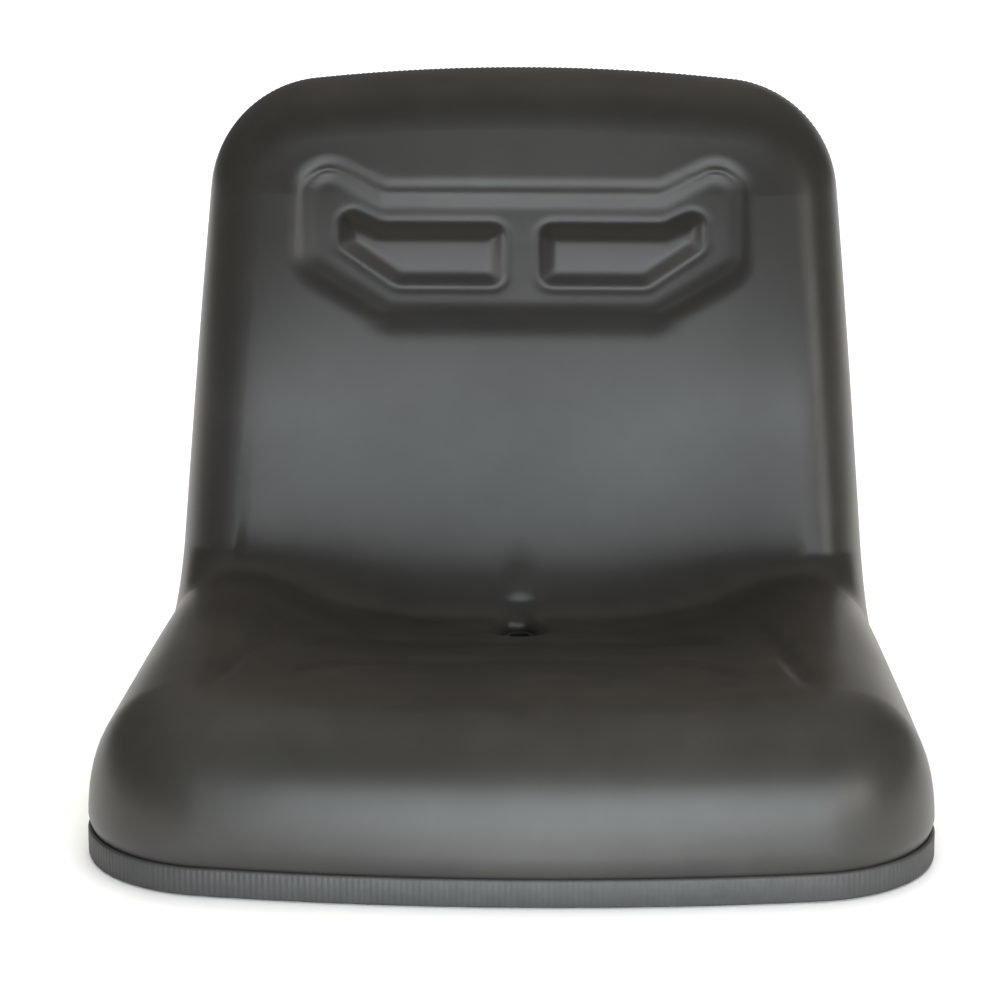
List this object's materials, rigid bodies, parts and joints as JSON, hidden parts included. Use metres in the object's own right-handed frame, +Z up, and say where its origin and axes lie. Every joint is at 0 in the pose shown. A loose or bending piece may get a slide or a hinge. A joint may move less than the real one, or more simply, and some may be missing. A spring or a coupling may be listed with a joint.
{
  "type": "tractor seat",
  "caption": "One-piece bucket seat for a compact tractor: moulded cushion with dished base and relief on the backrest, on a stamped steel pan with ribbed edge trim, bolted from below.",
  "frame": {"origin": "middle of the seat's bounding box, on the floor under the edge trim", "axes": "+X across, to the right as seen from the front, -Y to the front edge, +Y to the backrest, +Z up"},
  "size_m": [0.4762, 0.4537, 0.396],
  "materials": {
    "vinyl": "satin, fine grained black vinyl skin over moulded foam",
    "trim": "satin ribbed black vinyl",
    "pan_paint": "satin black paint",
    "eyelet": "matt black plastic",
    "zinc": "dull zinc plate"
  },
  "bodies": {
    "root": {"seat_cushion": "vinyl", "edge_trim": "trim", "seat_pan": "pan_paint", "drain_eyelet": "eyelet", "weld_nuts": "zinc"}
  },
  "joints": []
}
